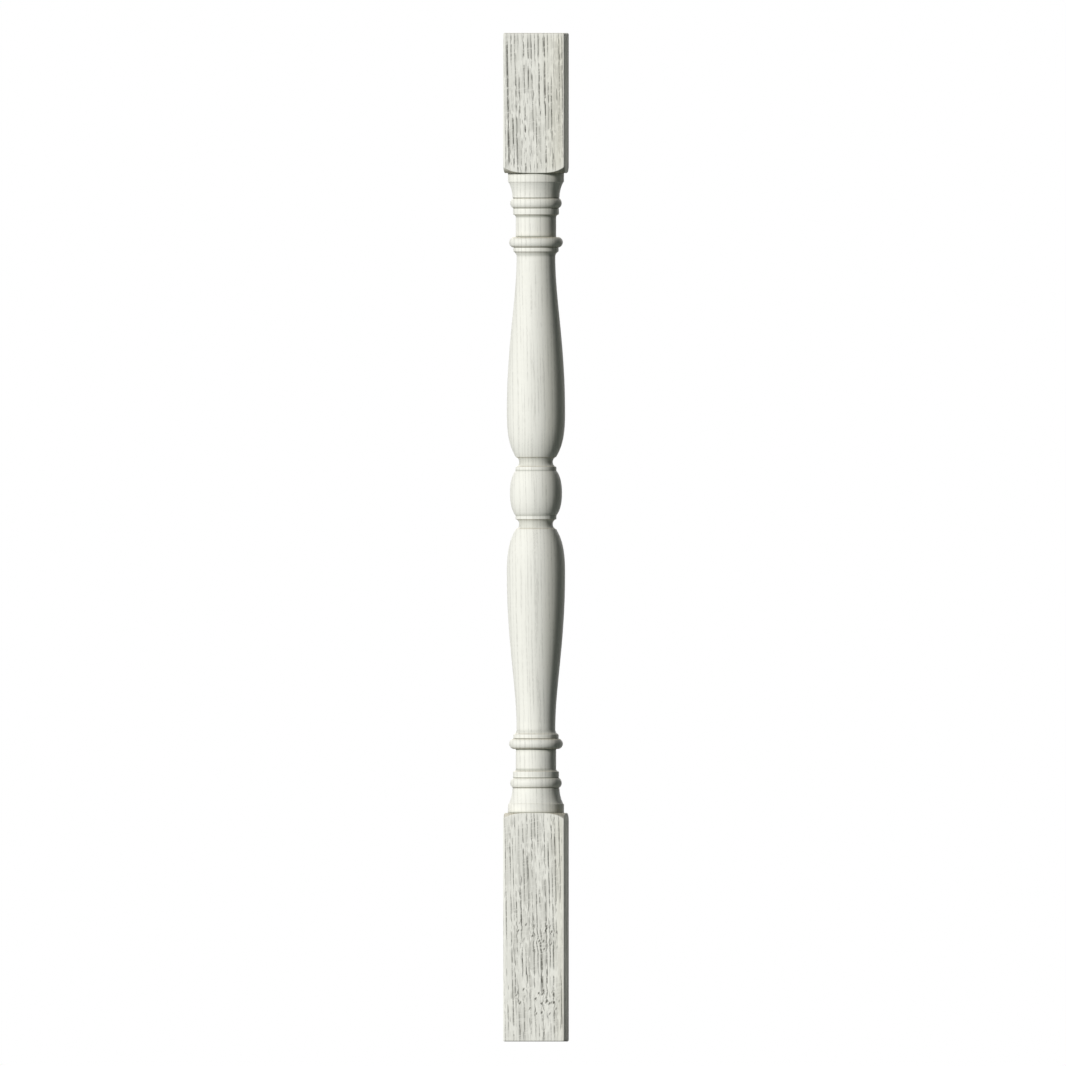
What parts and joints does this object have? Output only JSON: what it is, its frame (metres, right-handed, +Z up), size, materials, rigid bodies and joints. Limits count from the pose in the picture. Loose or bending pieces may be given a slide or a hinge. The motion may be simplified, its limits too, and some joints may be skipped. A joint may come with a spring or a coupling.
{
  "type": "stair baluster",
  "caption": "Turned wooden stair baluster with square end blocks and a vase-and-ball pattern between ringed necks; stands between tread and handrail to guard an open stair side.",
  "frame": {"origin": "centre of the lower end face, on the turning axis", "axes": "+Z up the turning axis, +X and +Y square to the block faces, -Y towards the viewer of the picture"},
  "size_m": [0.055, 0.055, 0.9],
  "materials": {
    "pale_timber": "bare pale timber, planed on the blocks and sanded smooth on the turning"
  },
  "bodies": {
    "root": {"baluster": "pale_timber"}
  },
  "joints": []
}
